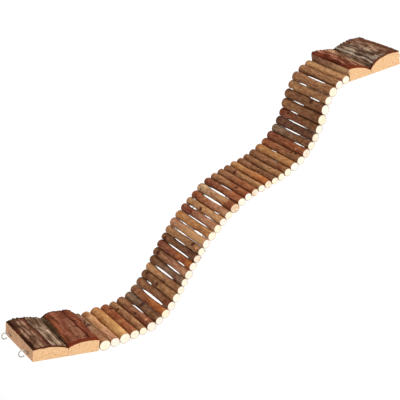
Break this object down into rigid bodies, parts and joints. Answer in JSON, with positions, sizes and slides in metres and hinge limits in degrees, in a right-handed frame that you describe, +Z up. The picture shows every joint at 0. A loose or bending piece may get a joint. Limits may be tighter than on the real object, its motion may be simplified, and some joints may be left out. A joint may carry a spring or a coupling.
{
  "type": "wooden hanging bridge",
  "caption": "Flexible hanging bridge of bark-covered twigs threaded side by side on two wires, with a half-log platform and open wire hooks at each end.",
  "frame": {"origin": "midway between the two lower hooks, in the middle of their loops, where a bar of the cage goes through them", "axes": "+X along the bridge from its lower end to its upper end, +Y along the twigs towards the far side of the picture, +Z up, with the lower platform level"},
  "size_m": [0.4313, 0.07, 0.2967],
  "materials": {
    "twig": "natural bark, matte, with pale sawn ends",
    "slab": "rough dark bark over pale sawn wood, matte",
    "wire": "dull galvanised steel"
  },
  "bodies": {
    "lower_platform": {"lower_inner_slab": "slab", "lower_outer_slab": "slab", "lower_hook_near": "wire", "lower_hook_far": "wire", "wire_near": "wire", "wire_far": "wire"},
    "twig_01": {"twig_01": "twig"},
    "twig_02": {"twig_02": "twig"},
    "twig_03": {"twig_03": "twig"},
    "twig_04": {"twig_04": "twig"},
    "twig_05": {"twig_05": "twig"},
    "twig_06": {"twig_06": "twig"},
    "twig_07": {"twig_07": "twig"},
    "twig_08": {"twig_08": "twig"},
    "twig_09": {"twig_09": "twig"},
    "twig_10": {"twig_10": "twig"},
    "twig_11": {"twig_11": "twig"},
    "twig_12": {"twig_12": "twig"},
    "twig_13": {"twig_13": "twig"},
    "twig_14": {"twig_14": "twig"},
    "twig_15": {"twig_15": "twig"},
    "twig_16": {"twig_16": "twig"},
    "twig_17": {"twig_17": "twig"},
    "twig_18": {"twig_18": "twig"},
    "twig_19": {"twig_19": "twig"},
    "twig_20": {"twig_20": "twig"},
    "twig_21": {"twig_21": "twig"},
    "twig_22": {"twig_22": "twig"},
    "twig_23": {"twig_23": "twig"},
    "twig_24": {"twig_24": "twig"},
    "twig_25": {"twig_25": "twig"},
    "twig_26": {"twig_26": "twig"},
    "twig_27": {"twig_27": "twig"},
    "twig_28": {"twig_28": "twig"},
    "twig_29": {"twig_29": "twig"},
    "twig_30": {"twig_30": "twig"},
    "twig_31": {"twig_31": "twig"},
    "twig_32": {"twig_32": "twig"},
    "twig_33": {"twig_33": "twig"},
    "twig_34": {"twig_34": "twig"},
    "twig_35": {"twig_35": "twig"},
    "twig_36": {"twig_36": "twig"},
    "twig_37": {"twig_37": "twig"},
    "twig_38": {"twig_38": "twig"},
    "twig_39": {"twig_39": "twig"},
    "twig_40": {"twig_40": "twig"},
    "twig_41": {"twig_41": "twig"},
    "twig_42": {"twig_42": "twig"},
    "upper_platform": {"upper_inner_slab": "slab", "upper_outer_slab": "slab", "upper_hook_near": "wire", "upper_hook_far": "wire"}
  },
  "joints": [
    {"name": "bend_01", "type": "hinge", "parent": "lower_platform", "child": "twig_01", "pos_m": [0.0789, 0, 0], "axis": [0, -1, 0], "range_deg": [-12, 12], "deforming": ["wire_near", "wire_far"]},
    {"name": "bend_02", "type": "hinge", "parent": "twig_01", "child": "twig_02", "pos_m": [0.09112, 0, 0.00128], "axis": [0, -1, 0], "range_deg": [-12, 12]},
    {"name": "bend_03", "type": "hinge", "parent": "twig_02", "child": "twig_03", "pos_m": [0.10158, 0, 0.00351], "axis": [0, -1, 0], "range_deg": [-12, 12]},
    {"name": "bend_04", "type": "hinge", "parent": "twig_03", "child": "twig_04", "pos_m": [0.11316, 0, 0.00611], "axis": [0, -1, 0], "range_deg": [-12, 12]},
    {"name": "bend_05", "type": "hinge", "parent": "twig_04", "child": "twig_05", "pos_m": [0.1234, 0, 0.00854], "axis": [0, -1, 0], "range_deg": [-12, 12]},
    {"name": "bend_06", "type": "hinge", "parent": "twig_05", "child": "twig_06", "pos_m": [0.13239, 0, 0.01078], "axis": [0, -1, 0], "range_deg": [-12, 12]},
    {"name": "bend_07", "type": "hinge", "parent": "twig_06", "child": "twig_07", "pos_m": [0.14237, 0, 0.01565], "axis": [0, -1, 0], "range_deg": [-12, 12]},
    {"name": "bend_08", "type": "hinge", "parent": "twig_07", "child": "twig_08", "pos_m": [0.14967, 0, 0.02135], "axis": [0, -1, 0], "range_deg": [-12, 12]},
    {"name": "bend_09", "type": "hinge", "parent": "twig_08", "child": "twig_09", "pos_m": [0.15617, 0, 0.02909], "axis": [0, -1, 0], "range_deg": [-12, 12]},
    {"name": "bend_10", "type": "hinge", "parent": "twig_09", "child": "twig_10", "pos_m": [0.16187, 0, 0.03713], "axis": [0, -1, 0], "range_deg": [-12, 12]},
    {"name": "bend_11", "type": "hinge", "parent": "twig_10", "child": "twig_11", "pos_m": [0.16681, 0, 0.04546], "axis": [0, -1, 0], "range_deg": [-12, 12]},
    {"name": "bend_12", "type": "hinge", "parent": "twig_11", "child": "twig_12", "pos_m": [0.17068, 0, 0.05341], "axis": [0, 1, 0], "range_deg": [-12, 12]},
    {"name": "bend_13", "type": "hinge", "parent": "twig_12", "child": "twig_13", "pos_m": [0.17455, 0, 0.06117], "axis": [0, 1, 0], "range_deg": [-12, 12]},
    {"name": "bend_14", "type": "hinge", "parent": "twig_13", "child": "twig_14", "pos_m": [0.17895, 0, 0.0698], "axis": [0, 1, 0], "range_deg": [-12, 12]},
    {"name": "bend_15", "type": "hinge", "parent": "twig_14", "child": "twig_15", "pos_m": [0.18323, 0, 0.07802], "axis": [0, 1, 0], "range_deg": [-12, 12]},
    {"name": "bend_16", "type": "hinge", "parent": "twig_15", "child": "twig_16", "pos_m": [0.1873, 0, 0.08568], "axis": [0, 1, 0], "range_deg": [-12, 12]},
    {"name": "bend_17", "type": "hinge", "parent": "twig_16", "child": "twig_17", "pos_m": [0.1919, 0, 0.09304], "axis": [0, 1, 0], "range_deg": [-12, 12]},
    {"name": "bend_18", "type": "hinge", "parent": "twig_17", "child": "twig_18", "pos_m": [0.19784, 0, 0.10121], "axis": [0, 1, 0], "range_deg": [-12, 12]},
    {"name": "bend_19", "type": "hinge", "parent": "twig_18", "child": "twig_19", "pos_m": [0.2038, 0, 0.10884], "axis": [0, 1, 0], "range_deg": [-12, 12]},
    {"name": "bend_20", "type": "hinge", "parent": "twig_19", "child": "twig_20", "pos_m": [0.20976, 0, 0.11594], "axis": [0, 1, 0], "range_deg": [-12, 12]},
    {"name": "bend_21", "type": "hinge", "parent": "twig_20", "child": "twig_21", "pos_m": [0.21567, 0, 0.12251], "axis": [0, 1, 0], "range_deg": [-12, 12]},
    {"name": "bend_22", "type": "hinge", "parent": "twig_21", "child": "twig_22", "pos_m": [0.22199, 0, 0.12905], "axis": [0, 1, 0], "range_deg": [-12, 12]},
    {"name": "bend_23", "type": "hinge", "parent": "twig_22", "child": "twig_23", "pos_m": [0.22956, 0, 0.13637], "axis": [0, 1, 0], "range_deg": [-12, 12]},
    {"name": "bend_24", "type": "hinge", "parent": "twig_23", "child": "twig_24", "pos_m": [0.23692, 0, 0.14171], "axis": [0, 1, 0], "range_deg": [-12, 12]},
    {"name": "bend_25", "type": "hinge", "parent": "twig_24", "child": "twig_25", "pos_m": [0.24473, 0, 0.14586], "axis": [0, 1, 0], "range_deg": [-12, 12]},
    {"name": "bend_26", "type": "hinge", "parent": "twig_25", "child": "twig_26", "pos_m": [0.25234, 0, 0.14966], "axis": [0, 1, 0], "range_deg": [-12, 12]},
    {"name": "bend_27", "type": "hinge", "parent": "twig_26", "child": "twig_27", "pos_m": [0.26005, 0, 0.15326], "axis": [0, 1, 0], "range_deg": [-12, 12]},
    {"name": "bend_28", "type": "hinge", "parent": "twig_27", "child": "twig_28", "pos_m": [0.26817, 0, 0.15678], "axis": [0, 1, 0], "range_deg": [-12, 12]},
    {"name": "bend_29", "type": "hinge", "parent": "twig_28", "child": "twig_29", "pos_m": [0.27582, 0, 0.15987], "axis": [0, -1, 0], "range_deg": [-12, 12]},
    {"name": "bend_30", "type": "hinge", "parent": "twig_29", "child": "twig_30", "pos_m": [0.28338, 0, 0.16378], "axis": [0, -1, 0], "range_deg": [-12, 12]},
    {"name": "bend_31", "type": "hinge", "parent": "twig_30", "child": "twig_31", "pos_m": [0.29104, 0, 0.16869], "axis": [0, -1, 0], "range_deg": [-12, 12]},
    {"name": "bend_32", "type": "hinge", "parent": "twig_31", "child": "twig_32", "pos_m": [0.2988, 0, 0.17476], "axis": [0, -1, 0], "range_deg": [-12, 12]},
    {"name": "bend_33", "type": "hinge", "parent": "twig_32", "child": "twig_33", "pos_m": [0.30531, 0, 0.18135], "axis": [0, -1, 0], "range_deg": [-12, 12]},
    {"name": "bend_34", "type": "hinge", "parent": "twig_33", "child": "twig_34", "pos_m": [0.31118, 0, 0.18905], "axis": [0, -1, 0], "range_deg": [-12, 12]},
    {"name": "bend_35", "type": "hinge", "parent": "twig_34", "child": "twig_35", "pos_m": [0.31582, 0, 0.19707], "axis": [0, -1, 0], "range_deg": [-12, 12]},
    {"name": "bend_36", "type": "hinge", "parent": "twig_35", "child": "twig_36", "pos_m": [0.31975, 0, 0.20591], "axis": [0, -1, 0], "range_deg": [-12, 12]},
    {"name": "bend_37", "type": "hinge", "parent": "twig_36", "child": "twig_37", "pos_m": [0.3227, 0, 0.21496], "axis": [0, -1, 0], "range_deg": [-12, 12]},
    {"name": "bend_38", "type": "hinge", "parent": "twig_37", "child": "twig_38", "pos_m": [0.32504, 0, 0.226], "axis": [0, 1, 0], "range_deg": [-12, 12]},
    {"name": "bend_39", "type": "hinge", "parent": "twig_38", "child": "twig_39", "pos_m": [0.32785, 0, 0.23649], "axis": [0, 1, 0], "range_deg": [-12, 12]},
    {"name": "bend_40", "type": "hinge", "parent": "twig_39", "child": "twig_40", "pos_m": [0.33079, 0, 0.24554], "axis": [0, 1, 0], "range_deg": [-12, 12]},
    {"name": "bend_41", "type": "hinge", "parent": "twig_40", "child": "twig_41", "pos_m": [0.33692, 0, 0.2543], "axis": [0, 1, 0], "range_deg": [-12, 12]},
    {"name": "bend_42", "type": "hinge", "parent": "twig_41", "child": "twig_42", "pos_m": [0.34442, 0, 0.26016], "axis": [0, 1, 0], "range_deg": [-12, 12]},
    {"name": "bend_43", "type": "hinge", "parent": "twig_42", "child": "upper_platform", "pos_m": [0.35275, 0, 0.26422], "axis": [0, 1, 0], "range_deg": [-12, 12]}
  ]
}
